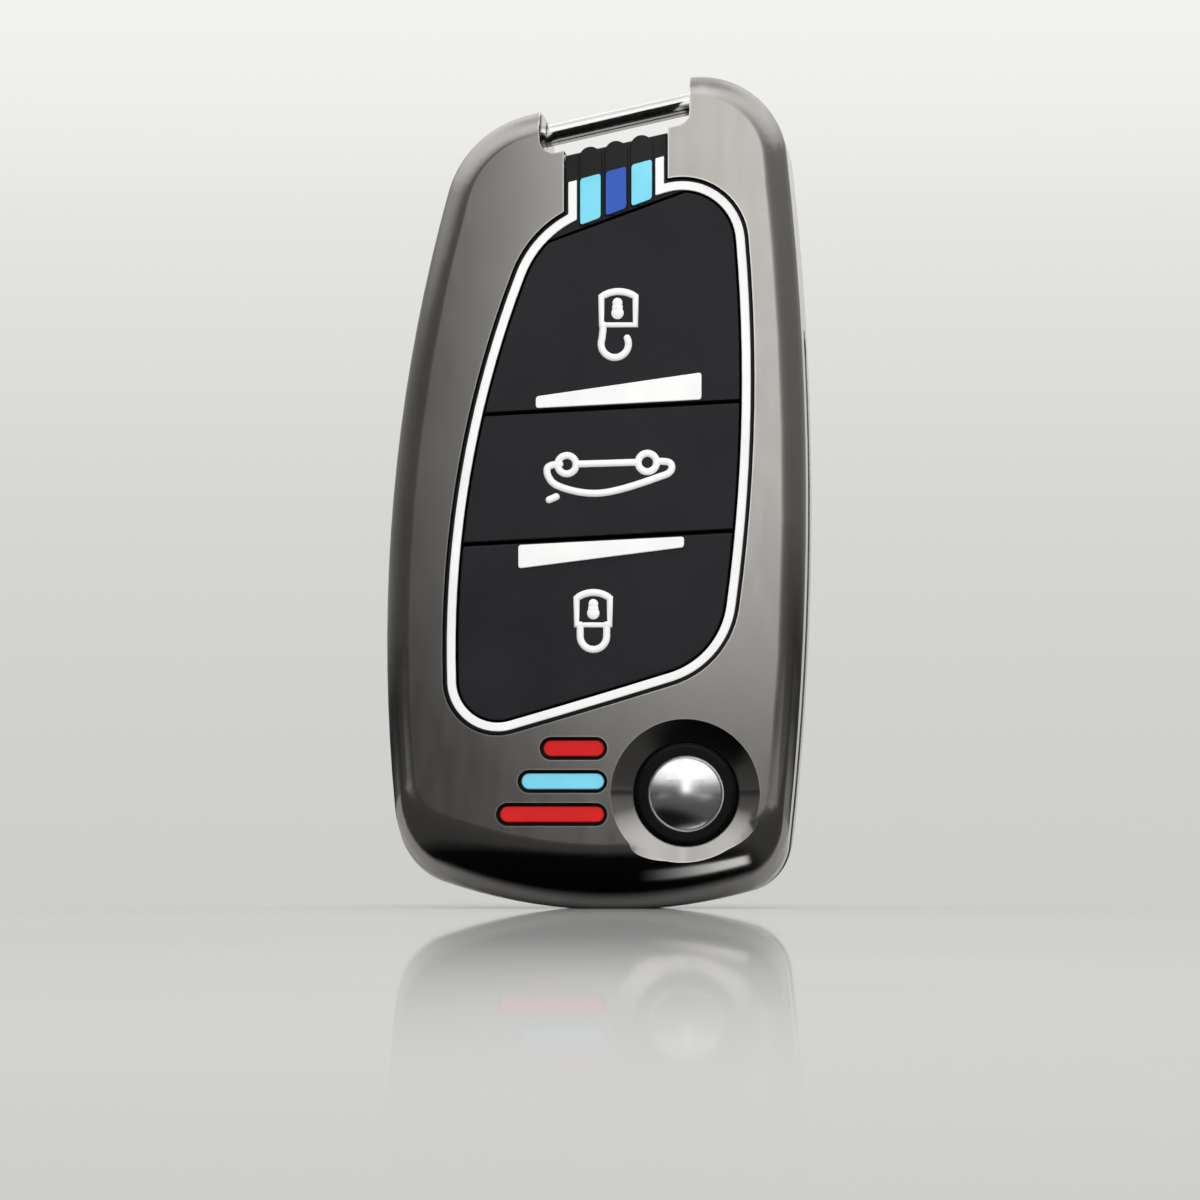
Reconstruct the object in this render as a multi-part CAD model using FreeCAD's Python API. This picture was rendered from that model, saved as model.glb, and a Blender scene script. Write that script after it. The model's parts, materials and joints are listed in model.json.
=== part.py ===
import FreeCAD, Part
import math
import os

# Hard cover for a folding car key: two cast half shells closed over a silicone insert.
# Millimetres. X is the width, Y the thickness with the face at minus Y, Z the length with the
# key-ring end up. The origin lies under the middle of the outline, in the plane of the foot.

V = FreeCAD.Vector
FRONT = -1.0
REAR = 1.0

# Outline of the two shells seen from the front: four bowed sides and four round corners
top_edge_x = 0.0
top_edge_z = 79.2
top_slope = 13.2
top_bow_radius = 250.0
left_edge_x = -20.5
left_edge_share = 0.328
left_edge_z = left_edge_share * top_edge_z
left_bow_share = 2.083
left_bow_radius = left_bow_share * top_edge_z
right_edge_x = 20.5
right_edge_share = 0.505
right_edge_z = right_edge_share * top_edge_z
right_bow_share = 3.85
right_bow_radius = right_bow_share * top_edge_z
bottom_low_x = 1.3
bottom_bow_radius = 51.0
top_left_corner = 10.5
top_right_corner = 8.5
bottom_right_corner = 5.2
bottom_left_corner = 6.2
foot_cut = 0.15

# Thickness: each half has a flat face, a round edge and a larger roll-off at its lower end
front_depth = 10.0
rear_depth = 10.0
end_roll_radius = 6.5
end_roll_steps = 2
edge_round = 2.4
edge_round_steps = 3
wall = 1.5
bottom_wall = 4.2
parting_gap = 0.2

# Tongues of the rear half that locate the front half
tongue_inset = 0.85
tongue_thickness = 0.5
tongue_height = 1.5
tongue_length = 9.0
tongue_clearance = 0.2
tongue_end_clearance = 0.3
left_low_tongue_z = 17.0
left_high_tongue_drop = 26.2
right_high_tongue_drop = 13.2
bottom_tongue_x = -8.5

# Notch for the key ring, with its bar
notch_left_x = -5.4
notch_right_x = 9.25
notch_depth = 4.75
notch_floor_z = top_edge_z - notch_depth
notch_slope = 12.4
notch_corner = 1.4
bar_diameter = 2.2
bar_above_floor = 2.98
bar_bite = 0.9
bar_fit = 0.05
bar_cover_clearance = 0.3

# Slot that lets the blade swing out, round the lower right corner
slot_width = 5.2
slot_start_x = -0.2
slot_top_drop = 22.2
slot_top_z = top_edge_z - slot_top_drop
slot_end_round = 2.4

# Window for the pad: four bowed sides and four round corners, with a tab slot above it
window_top_x = 2.0
window_top_margin = 9.6
window_top_z = top_edge_z - window_top_margin
window_top_slope = 16.1
window_bottom_x = 0.0
window_bottom_z = 19.4
window_bottom_slope = 16.6
window_height = window_top_z - window_bottom_z
window_left_x = -14.86
window_left_share = 0.1175
window_left_z = window_bottom_z + window_left_share * window_height
window_left_bow_share = 2.042
window_left_bow_radius = window_left_bow_share * window_height
window_right_x = 15.58
window_right_share = 0.6395
window_right_z = window_bottom_z + window_right_share * window_height
window_right_bow_share = 3.245
window_right_bow_radius = window_right_bow_share * window_height
window_straight_bow_radius = 700.0
window_top_left_corner = 11.25
window_top_right_corner = 6.5
window_bottom_right_corner = 9.2
window_bottom_left_corner = 5.33
tab_middle_x = 2.075
tab_side_margin = 1.575
tab_depth = 4.2

# Silicone insert
liner_gap = 0.1
liner_thickness = 1.1
liner_rim_gap = 0.3
collar_clearance = 0.12
collar_recess = 0.75
line_gap = 0.4
line_width = 0.85
line_recess = 0.35
tab_bump_rise = 0.35
tab_bump_z = notch_floor_z + tab_bump_rise
tab_base_drop = 0.35
tab_mouth_drop = 2.1
tab_mouth_z = window_top_z - tab_mouth_drop
tab_mouth_slope = 20.0
rib_count = 3
rib_pitch = 2.5
rib_radius = 1.1
rib_recess = 0.6
stripe_width = 2.0
tab_half_width = ((rib_count - 1) * rib_pitch + stripe_width) / 2.0 + tab_side_margin
tab_left_x = tab_middle_x - tab_half_width
tab_right_x = tab_middle_x + tab_half_width
stripe_recess = 0.3
stripe_top_rise = 2.4
stripe_top_z = window_top_z + stripe_top_rise
stripe_slope = 15.0
stripe_margin = 0.3

# Buttons of the pad
button_gap = 0.25
button_recess = 0.5
groove_width = 0.35
groove_slope = 2.75
upper_groove_share = 0.5827
lower_groove_share = 0.3321
upper_groove_z = window_bottom_z + upper_groove_share * window_height
lower_groove_z = window_bottom_z + lower_groove_share * window_height
flange_catch = 0.7
flange_gap = 0.2
flange_thickness = 0.8
pusher_radius = 1.5
pusher_height = 1.2
pusher_x = 1.0
unlock_pusher_share = 0.769
lock_pusher_share = 0.171
unlock_pusher_z = window_bottom_z + unlock_pusher_share * window_height
boot_pusher_z = (upper_groove_z + lower_groove_z) / 2.0
lock_pusher_z = window_bottom_z + lock_pusher_share * window_height
wedge_raise = 0.25
wedge_groove_gap = 0.15
upper_wedge_left_x = -5.75
upper_wedge_right_x = 10.4
upper_wedge_left_height = 1.15
upper_wedge_right_height = 2.65
lower_wedge_left_x = -7.45
lower_wedge_right_x = 8.7
lower_wedge_left_height = 2.3
lower_wedge_right_height = 1.05

# Three pill slots in a stack, all ending on the same line on the right
pill_right_x = 1.25
pill_top_z = 15.6
pill_pitch = 3.2
pill_height = 2.25
pill_short_length = 6.6
pill_middle_length = 8.75
pill_long_length = 10.85
pill_bar_gap = 0.35
pill_bar_recess = 0.4

# Release push in its dish
release_x = 8.8
release_z = 11.2
dish_radius = 7.25
dish_depth = 1.45
boss_radius = 7.8
boss_thickness = 0.8
ring_hole_radius = 5.1
ring_fit = 0.1
ring_proud = 0.35
ring_lip_bevel = 0.35
ring_flange_radius = 5.9
ring_flange_thickness = 0.6
cap_radius = 3.45
cap_clearance = 0.25
cap_dome_height = 1.15
cap_shank_proud = 0.2
cap_flange_radius = 4.6
cap_flange_gap = 0.25
cap_flange_thickness = 0.5

# Reach of the cutting bodies beyond what they cut
reach = 60.0


# Plane geometry helpers, all in the XZ plane at Y = 0

def at(x, z):
    return V(x, 0.0, z)


def along(angle):
    turn = math.radians(angle)
    return V(math.cos(turn), 0.0, math.sin(turn))


def bowed_side(x, z, outward, radius):
    """Circle of the given radius that passes through x, z with its outward normal at an angle."""
    return at(x, z) - along(outward) * radius, radius


def circle_crossing(first, first_radius, second, second_radius, near):
    apart = second - first
    distance = apart.Length
    ahead = (first_radius ** 2 - second_radius ** 2 + distance ** 2) / (2.0 * distance)
    aside = math.sqrt(first_radius ** 2 - ahead ** 2)
    direction = apart * (1.0 / distance)
    normal = V(-direction.z, 0.0, direction.x)
    foot = first + direction * ahead
    crossings = [foot + normal * aside, foot - normal * aside]
    return min(crossings, key=lambda point: (point - near).Length)


def on_circle(centre, radius, towards):
    ray = towards - centre
    return centre + ray * (radius / ray.Length)


def arc_between(start, end, centre, radius):
    middle = on_circle(centre, radius, (start + end) * 0.5)
    return Part.Arc(start, middle, end).toShape()


def round_loop(sides, corners, middle, insets):
    """Closed outline of bowed sides joined by tangent corner arcs, each side moved in by its inset."""
    count = len(sides)
    moved = [(centre, radius - inset) for (centre, radius), inset in zip(sides, insets)]
    rounds = []
    for index in range(count):
        following = (index + 1) % count
        centre_a, radius_a = moved[index]
        centre_b, radius_b = moved[following]
        corner = corners[index] - min(insets[index], insets[following])
        far_corner = circle_crossing(centre_a, radius_a, centre_b, radius_b, middle)
        centre = circle_crossing(centre_a, radius_a - corner, centre_b, radius_b - corner, far_corner)
        start = on_circle(centre_a, radius_a, centre)
        end = on_circle(centre_b, radius_b, centre)
        rounds.append((centre, corner, start, end))
    edges = []
    for index in range(count):
        centre, corner, start, end = rounds[index]
        following = (index + 1) % count
        side_centre, side_radius = moved[following]
        edges.append(arc_between(start, end, centre, corner))
        edges.append(arc_between(end, rounds[following][2], side_centre, side_radius))
    return Part.Wire(edges)


def polygon(points):
    return Part.makePolygon(points + [points[0]])


def prism(wire, y_from, y_to):
    face = Part.Face(wire)
    face.translate(V(0.0, y_from, 0.0))
    return face.extrude(V(0.0, y_to - y_from, 0.0))


def through(wire):
    return prism(wire, -reach, reach)


def line_height(x, x_ref, z_ref, slope):
    return z_ref + (x - x_ref) * math.tan(math.radians(slope))


def above_line(x_ref, z_ref, slope):
    """Everything above a sloping line, as a prism through the whole thickness."""
    left = at(-reach, line_height(-reach, x_ref, z_ref, slope))
    right = at(reach, line_height(reach, x_ref, z_ref, slope))
    up = V(0.0, 0.0, 3.0 * reach)
    return through(polygon([left, right, right + up, left + up]))


def below_line(x_ref, z_ref, slope):
    left = at(-reach, line_height(-reach, x_ref, z_ref, slope))
    right = at(reach, line_height(reach, x_ref, z_ref, slope))
    down = V(0.0, 0.0, 3.0 * reach)
    return through(polygon([left - down, right - down, right, left]))


def y_cylinder(x, z, radius, y_from, y_to):
    return Part.makeCylinder(radius, y_to - y_from, V(x, y_from, z), V(0.0, 1.0, 0.0))


def y_edges(solid):
    """Edges that run straight through the thickness."""
    found = []
    for edge in solid.Edges:
        run = edge.Vertexes[-1].Point - edge.Vertexes[0].Point
        if run.Length > 0.0 and abs(run.y) > 0.999 * run.Length:
            found.append(edge)
    return found


# Outlines

def shell_loop(inset, bottom_inset=None):
    """Outline of the shells moved inwards, by its own amount along the bottom if one is given."""
    sides = [
        bowed_side(left_edge_x, left_edge_z, 180.0, left_bow_radius),
        bowed_side(top_edge_x, top_edge_z, 90.0 + top_slope, top_bow_radius),
        bowed_side(right_edge_x, right_edge_z, 0.0, right_bow_radius),
        bowed_side(bottom_low_x, -foot_cut, 270.0, bottom_bow_radius),
    ]
    corners = [top_left_corner, top_right_corner, bottom_right_corner, bottom_left_corner]
    insets = [inset, inset, inset, inset if bottom_inset is None else bottom_inset]
    return round_loop(sides, corners, at(top_edge_x, top_edge_z / 2.0), insets)


def window_loop(inset):
    sides = [
        bowed_side(window_left_x, window_left_z, 180.0, window_left_bow_radius),
        bowed_side(window_top_x, window_top_z, 90.0 + window_top_slope, window_straight_bow_radius),
        bowed_side(window_right_x, window_right_z, 0.0, window_right_bow_radius),
        bowed_side(window_bottom_x, window_bottom_z, 270.0 + window_bottom_slope,
                   window_straight_bow_radius),
    ]
    corners = [window_top_left_corner, window_top_right_corner,
               window_bottom_right_corner, window_bottom_left_corner]
    middle = at(window_top_x, (window_top_z + window_bottom_z) / 2.0)
    return round_loop(sides, corners, middle, [inset] * len(sides))


def window_middle_z():
    return (window_top_z + window_bottom_z) / 2.0


def tab_loop(inset):
    low = window_middle_z()
    high = top_edge_z + reach
    return polygon([at(tab_left_x + inset, low), at(tab_right_x - inset, low),
                    at(tab_right_x - inset, high), at(tab_left_x + inset, high)])


def pad_prism(inset):
    """Window with its tab slot, moved inwards by inset, right through the thickness."""
    return through(window_loop(inset)).fuse(through(tab_loop(inset)))


def pill_loop(length, z, inset):
    radius = pill_height / 2.0 - inset
    right = pill_right_x - pill_height / 2.0
    left = pill_right_x - length + pill_height / 2.0
    top_left = at(left, z + radius)
    top_right = at(right, z + radius)
    low_right = at(right, z - radius)
    low_left = at(left, z - radius)
    return Part.Wire([
        Part.makeLine(top_left, top_right),
        Part.Arc(top_right, at(right + radius, z), low_right).toShape(),
        Part.makeLine(low_right, low_left),
        Part.Arc(low_left, at(left - radius, z), top_left).toShape(),
    ])


def notch_prism(grow):
    """Key-ring notch between the shoulders, widened by grow on its three sides."""
    left = notch_left_x - grow
    right = notch_right_x + grow
    drop = grow / math.cos(math.radians(notch_slope))
    low_left = line_height(left, 0.0, notch_floor_z, notch_slope) - drop
    low_right = line_height(right, 0.0, notch_floor_z, notch_slope) - drop
    high = top_edge_z + reach
    body = through(polygon([at(left, low_left), at(right, low_right), at(right, high), at(left, high)]))
    low_edges = [edge for edge in y_edges(body) if edge.CenterOfMass.z < top_edge_z + edge_round]
    return body.makeFillet(notch_corner + grow, low_edges)


# Depth forms

def depth_of(side):
    return front_depth if side == FRONT else rear_depth


def section(side, below_face, inset, bottom_inset):
    """Outline of one half at a depth below its face."""
    wire = shell_loop(inset, bottom_inset)
    wire.translate(V(0.0, side * (depth_of(side) - below_face), 0.0))
    return wire


def half_room(side, offset, y_gap):
    """Room inside one half, offset from its outside, from y_gap off the parting plane.

    Its lower end stands back further, so that it stays clear of the roll-off.
    """
    ends = sorted([side * y_gap, side * (depth_of(side) - offset)])
    return prism(shell_loop(offset, bottom_wall + offset - wall), ends[0], ends[1])


def layer(body, top_offset, bottom_offset):
    """Slice of a body between two depths below the front face."""
    slab = Part.makeBox(2.0 * reach, bottom_offset - top_offset, 3.0 * reach,
                        V(-reach, top_offset - front_depth, -reach))
    return body.common(slab)


def round_inset(below_face, radius):
    """How far a rounded edge stands back at a depth below the face."""
    rise = max(radius - below_face, 0.0)
    return radius - math.sqrt(radius ** 2 - rise ** 2)


def rounding_depths():
    """Depths below the face of the sections that shape the roll-off and then the round edge."""
    roll_turn = math.asin(1.0 - edge_round / end_roll_radius)
    roll = [end_roll_radius * (1.0 - math.sin(roll_turn * step / end_roll_steps))
            for step in range(end_roll_steps)]
    edge = [edge_round * (1.0 - math.sin(math.pi / 2.0 * step / edge_round_steps))
            for step in range(edge_round_steps + 1)]
    return roll + edge


def rounded_half(side):
    """Outer form of one half: straight walls, then sections drawn in along the round edges."""
    sections = []
    for below_face in [depth_of(side) - parting_gap / 2.0] + rounding_depths():
        inset = round_inset(below_face, edge_round)
        bottom_inset = round_inset(below_face, end_roll_radius)
        sections.append(section(side, below_face, inset, bottom_inset))
    return Part.makeLoft(sections, True, True)


def below_foot():
    return Part.makeBox(2.0 * reach, 2.0 * reach, reach, V(-reach, -reach, -reach))


def blade_slot():
    """Room for the blade on the parting plane, with rounded slot ends."""
    body = Part.makeBox(reach, slot_width, slot_top_z + reach, V(slot_start_x, -slot_width / 2.0, -reach))
    ends = []
    for edge in body.Edges:
        run = edge.Vertexes[-1].Point - edge.Vertexes[0].Point
        middle = edge.CenterOfMass
        upper_end = abs(run.x) > 0.999 * run.Length and middle.z > slot_top_z - slot_width
        start_end = abs(run.z) > 0.999 * run.Length and middle.x < slot_start_x + slot_width
        if upper_end or start_end:
            ends.append(edge)
    return body.makeFillet(slot_end_round, ends)


# Key-ring bar

def bar_axis():
    direction = along(notch_slope)
    middle_x = (notch_left_x + notch_right_x) / 2.0
    middle = at(middle_x, line_height(middle_x, 0.0, notch_floor_z, notch_slope))
    middle = middle + along(90.0 + notch_slope) * bar_above_floor
    span = (notch_right_x - notch_left_x) / math.cos(math.radians(notch_slope)) + 2.0 * bar_bite
    return middle - direction * (span / 2.0), direction, span


def bar_body(grow):
    start, direction, span = bar_axis()
    radius = bar_diameter / 2.0 + grow
    return Part.makeCylinder(radius, span + 2.0 * grow, start - direction * grow, direction)


# Shells

def hollow_half(side):
    """Rounded half with its cavity, keeping a wall round the key-ring notch."""
    cavity = half_room(side, wall, 0.0).cut(notch_prism(wall))
    return rounded_half(side).cut(cavity).cut(notch_prism(0.0)).cut(below_foot())


def tongue_zones(grow):
    """Blocks that pick the stretches of the rim where the tongues stand."""
    half = tongue_length / 2.0 + grow
    left_high_z = top_edge_z - left_high_tongue_drop
    right_high_z = top_edge_z - right_high_tongue_drop
    zones = [
        (-reach, 0.0, left_low_tongue_z - half, left_low_tongue_z + half),
        (-reach, 0.0, left_high_z - half, left_high_z + half),
        (0.0, reach, right_high_z - half, right_high_z + half),
        (bottom_tongue_x - half, bottom_tongue_x + half, -reach, bottom_left_corner),
    ]
    blocks = []
    for left, right, low, high in zones:
        blocks.append(Part.makeBox(right - left, 2.0 * reach, high - low, V(left, -reach, low)))
    return blocks


def tongue_bodies(grow, end_grow, y_to):
    """Short stretches of a ring inside the rim, widened by grow for the pockets that take them."""
    y_from = -tongue_height - end_grow
    outer = prism(shell_loop(tongue_inset - grow), y_from, y_to)
    ring = outer.cut(prism(shell_loop(tongue_inset + tongue_thickness + grow), y_from, y_to))
    return [ring.common(zone) for zone in tongue_zones(grow)]


def dish_floor_y():
    return dish_depth - front_depth


def release_dish():
    """Cone that leads down to the grommet's hole, carried on past the face at its own slope."""
    slope = (dish_radius - ring_hole_radius) / dish_depth
    top = V(release_x, dish_floor_y() - 2.0 * dish_depth, release_z)
    top_radius = ring_hole_radius + 2.0 * dish_depth * slope
    return Part.makeCone(top_radius, ring_hole_radius, 2.0 * dish_depth, top, V(0.0, 1.0, 0.0))


def boss_back_y():
    return dish_floor_y() + boss_thickness


def pill_sizes():
    lengths = [pill_short_length, pill_middle_length, pill_long_length]
    return [(length, pill_top_z - index * pill_pitch) for index, length in enumerate(lengths)]


def front_shell():
    shell = hollow_half(FRONT)
    boss = y_cylinder(release_x, release_z, boss_radius, -front_depth, boss_back_y())
    shell = shell.fuse(boss.common(rounded_half(FRONT)))
    shell = shell.cut(release_dish())
    shell = shell.cut(y_cylinder(release_x, release_z, ring_hole_radius, -front_depth, 0.0))
    shell = shell.cut(prism(window_loop(0.0), -reach, 0.0))
    shell = shell.cut(prism(tab_loop(0.0), -reach, tab_depth - front_depth))
    for length, z in pill_sizes():
        shell = shell.cut(prism(pill_loop(length, z, 0.0), -reach, 0.0))
    for pocket in tongue_bodies(tongue_clearance, tongue_end_clearance, 0.0):
        shell = shell.cut(pocket)
    return shell.cut(blade_slot()).cut(bar_body(bar_cover_clearance)).removeSplitter()


def rear_shell():
    shell = hollow_half(REAR)
    for tongue in tongue_bodies(0.0, 0.0, rear_depth / 2.0):
        shell = shell.fuse(tongue)
    return shell.cut(below_foot()).cut(blade_slot()).cut(bar_body(bar_fit))


# Silicone insert

def tray(side):
    """Silicone layer that lines one half up to its rim."""
    inner_offset = liner_offset() + liner_thickness
    outer = half_room(side, liner_offset(), liner_rim_gap).cut(notch_prism(liner_offset()))
    inner = half_room(side, inner_offset, 0.0).cut(notch_prism(inner_offset))
    return outer.cut(inner).cut(blade_slot())


def rib_xs():
    first = tab_middle_x - (rib_count - 1) / 2.0 * rib_pitch
    return [first + index * rib_pitch for index in range(rib_count)]


def rib_body(x):
    """Raised rib of the tab, with a round upper end."""
    top = line_height(x, tab_middle_x, tab_bump_z, notch_slope) - rib_radius
    low = line_height(x, tab_middle_x, tab_mouth_z, tab_mouth_slope)
    upright = through(polygon([at(x - rib_radius, low), at(x + rib_radius, low),
                               at(x + rib_radius, top), at(x - rib_radius, top)]))
    body = upright.fuse(y_cylinder(x, top, rib_radius, -reach, reach))
    body = body.cut(below_line(tab_middle_x, tab_mouth_z, tab_mouth_slope))
    return layer(body, rib_recess, tab_depth - liner_gap)


def tab_body():
    """Ribbed tab that fills the tab slot and reaches into the notch."""
    block = layer(through(tab_loop(collar_clearance)), collar_recess, tab_depth - liner_gap)
    block = block.cut(above_line(tab_middle_x, tab_bump_z - tab_base_drop, notch_slope))
    block = block.cut(below_line(tab_middle_x, tab_mouth_z, tab_mouth_slope))
    for x in rib_xs():
        block = block.fuse(rib_body(x))
    return block


def stripe_body(x):
    """Coloured inlay on the crest of one rib."""
    half = stripe_width / 2.0
    low = window_middle_z()
    body = through(polygon([at(x - half, low), at(x + half, low),
                            at(x + half, top_edge_z), at(x - half, top_edge_z)]))
    body = body.cut(above_line(tab_middle_x, stripe_top_z, stripe_slope))
    margin = stripe_margin / math.cos(math.radians(tab_mouth_slope))
    body = body.cut(below_line(tab_middle_x, tab_mouth_z + margin, tab_mouth_slope))
    return layer(body, stripe_recess, rib_recess)


def pad_opening(inset, mouth_gap):
    """Inside of the window, moved inwards, closed at the top below the mouth of the tab."""
    mouth = tab_mouth_z - mouth_gap / math.cos(math.radians(tab_mouth_slope))
    return through(window_loop(inset)).cut(above_line(tab_middle_x, mouth, tab_mouth_slope))


def line_inset():
    return line_gap + line_width


def liner_offset():
    return wall + liner_gap


def front_liner():
    collar = layer(pad_prism(collar_clearance), collar_recess, liner_offset() + liner_thickness)
    collar = collar.cut(above_line(tab_middle_x, tab_bump_z - tab_base_drop, notch_slope))
    liner = tray(FRONT).fuse(collar).fuse(tab_body())
    liner = liner.cut(pad_opening(line_inset(), 0.0))
    liner = liner.cut(y_cylinder(release_x, release_z, boss_radius + liner_gap, -front_depth, 0.0))
    return liner.removeSplitter()


def rear_liner():
    return tray(REAR).removeSplitter()


def white_outline():
    """Raised line on the collar, open at the tab, where its two arms end on a slant."""
    ring = pad_prism(line_gap).cut(pad_prism(line_inset()))
    ring = ring.cut(above_line(tab_middle_x, stripe_top_z, stripe_slope))
    return layer(ring, line_recess, collar_recess).removeSplitter()


def pill_bar(length, z):
    """Coloured bar that stands on the insert and fills one pill slot."""
    body = prism(pill_loop(length, z, pill_bar_gap), -reach, 0.0)
    return layer(body, pill_bar_recess, liner_offset())


# Buttons of the pad

def flange_front():
    return liner_offset() + liner_thickness + flange_gap


def pad_blank():
    """The three buttons before they are parted, with the flange that keeps them in the collar."""
    flange_back = flange_front() + flange_thickness
    key_top = layer(pad_opening(line_inset() + button_gap, button_gap), button_recess, flange_back)
    flange = layer(pad_opening(line_inset() - flange_catch, button_gap), flange_front(), flange_back)
    return key_top.fuse(flange)


def groove_side(groove_z, direction):
    """Height of one edge of a parting groove where it crosses X = 0."""
    return groove_z + direction * groove_width / 2.0 / math.cos(math.radians(groove_slope))


def pad_button(low_groove_z, high_groove_z, pusher_z):
    """One zone of the pad between two parting grooves, with its pusher behind."""
    button = pad_blank()
    if low_groove_z is not None:
        button = button.cut(below_line(0.0, groove_side(low_groove_z, 1.0), groove_slope))
    if high_groove_z is not None:
        button = button.cut(above_line(0.0, groove_side(high_groove_z, -1.0), groove_slope))
    pusher_front = flange_front() - front_depth
    pusher_back = pusher_front + flange_thickness + pusher_height
    pusher = y_cylinder(pusher_x, pusher_z, pusher_radius, pusher_front, pusher_back)
    return button.fuse(pusher).removeSplitter()


def wedge_bar(left_x, right_x, left_height, right_height, groove_z, direction):
    """Tapered bar that runs along one side of a parting groove, raised from its button."""
    off_groove = groove_side(groove_z, direction)
    off_groove += direction * wedge_groove_gap / math.cos(math.radians(groove_slope))
    near_left = at(left_x, line_height(left_x, 0.0, off_groove, groove_slope))
    near_right = at(right_x, line_height(right_x, 0.0, off_groove, groove_slope))
    far_left = near_left + V(0.0, 0.0, direction * left_height)
    far_right = near_right + V(0.0, 0.0, direction * right_height)
    body = through(polygon([near_left, near_right, far_right, far_left]))
    return layer(body, button_recess - wedge_raise, button_recess)


# Release push

def turned(points):
    """Solid turned about the release axis from a profile of radius and Y."""
    corners = [V(release_x + radius, y, release_z) for radius, y in points]
    return Part.Face(polygon(corners)).revolve(V(release_x, 0.0, release_z), V(0.0, 1.0, 0.0), 360.0)


def ring_front_y():
    return dish_floor_y() - ring_proud


def ring_back_y():
    return boss_back_y() + ring_fit + ring_flange_thickness


def release_ring():
    """Grommet with a bevelled lip in the dish and a flange behind the boss."""
    bore = cap_radius + cap_clearance
    neck = ring_hole_radius - ring_fit
    flange_front_y = boss_back_y() + ring_fit
    ring = turned([(bore, ring_front_y()), (neck, ring_front_y()), (neck, flange_front_y),
                   (ring_flange_radius, flange_front_y), (ring_flange_radius, ring_back_y()),
                   (bore, ring_back_y())])
    front_edges = [edge for edge in ring.Edges if edge.BoundBox.YMax < ring_front_y() + ring_fit]
    lip = max(front_edges, key=lambda edge: edge.Length)
    return ring.makeChamfer(ring_lip_bevel, [lip])


def release_cap():
    """Domed cap with a shank through the grommet and a flange that keeps it there."""
    shoulder = ring_front_y() - cap_shank_proud
    flange_y = ring_back_y() + cap_flange_gap
    back_y = flange_y + cap_flange_thickness
    sphere_radius = (cap_radius ** 2 + cap_dome_height ** 2) / (2.0 * cap_dome_height)
    sphere_y = shoulder - cap_dome_height + sphere_radius
    shank = y_cylinder(release_x, release_z, cap_radius, shoulder - cap_dome_height, back_y)
    rounded = Part.makeSphere(sphere_radius, V(release_x, sphere_y, release_z))
    below_dome = y_cylinder(release_x, release_z, cap_radius, shoulder, back_y)
    flange = y_cylinder(release_x, release_z, cap_flange_radius, flange_y, back_y)
    return shank.common(rounded).fuse(below_dome).fuse(flange).removeSplitter()


def all_pieces():
    pieces = {
        "front_shell": front_shell(),
        "rear_shell": rear_shell(),
        "key_ring_bar": bar_body(0.0),
        "front_liner": front_liner(),
        "rear_liner": rear_liner(),
        "white_outline": white_outline(),
        "unlock_button": pad_button(upper_groove_z, None, unlock_pusher_z),
        "boot_button": pad_button(lower_groove_z, upper_groove_z, boot_pusher_z),
        "lock_button": pad_button(None, lower_groove_z, lock_pusher_z),
        "upper_wedge": wedge_bar(upper_wedge_left_x, upper_wedge_right_x, upper_wedge_left_height,
                                 upper_wedge_right_height, upper_groove_z, 1.0),
        "lower_wedge": wedge_bar(lower_wedge_left_x, lower_wedge_right_x, lower_wedge_left_height,
                                 lower_wedge_right_height, lower_groove_z, -1.0),
        "release_ring": release_ring(),
        "release_cap": release_cap(),
    }
    for place, x in zip(["left", "middle", "right"], rib_xs()):
        pieces["tab_stripe_" + place] = stripe_body(x)
    for place, (length, z) in zip(["short", "middle", "long"], pill_sizes()):
        pieces["pill_bar_" + place] = pill_bar(length, z)
    return pieces


def main():
    os.makedirs("parts", exist_ok=True)
    for name, shape in all_pieces().items():
        if not shape.isValid() or len(shape.Solids) != 1:
            raise ValueError(name + " is not one valid solid")
        shape.exportStep(os.path.join("parts", name + ".step"))


main()
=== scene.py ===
import json
import math

import bmesh
import bpy
from mathutils import Matrix, Vector


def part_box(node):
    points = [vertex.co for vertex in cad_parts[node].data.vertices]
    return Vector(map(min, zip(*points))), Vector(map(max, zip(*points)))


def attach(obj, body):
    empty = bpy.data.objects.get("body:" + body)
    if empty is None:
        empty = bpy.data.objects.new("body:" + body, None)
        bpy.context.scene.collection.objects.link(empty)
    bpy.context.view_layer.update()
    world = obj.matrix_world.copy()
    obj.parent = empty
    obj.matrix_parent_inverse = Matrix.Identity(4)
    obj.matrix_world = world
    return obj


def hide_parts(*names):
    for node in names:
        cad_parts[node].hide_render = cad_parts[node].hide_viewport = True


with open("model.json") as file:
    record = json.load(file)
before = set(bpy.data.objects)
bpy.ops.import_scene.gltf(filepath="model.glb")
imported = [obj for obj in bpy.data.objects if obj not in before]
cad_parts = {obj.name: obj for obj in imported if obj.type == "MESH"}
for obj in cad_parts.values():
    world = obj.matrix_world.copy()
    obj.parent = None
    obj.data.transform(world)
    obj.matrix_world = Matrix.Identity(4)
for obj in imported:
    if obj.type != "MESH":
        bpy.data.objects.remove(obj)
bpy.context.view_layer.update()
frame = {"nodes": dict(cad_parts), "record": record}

# Looks of a hard cover for a folding car key. Metres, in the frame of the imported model:
# X is the width, the face looks towards minus Y, Z is up towards the key-ring end.
MM = 0.001

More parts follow.
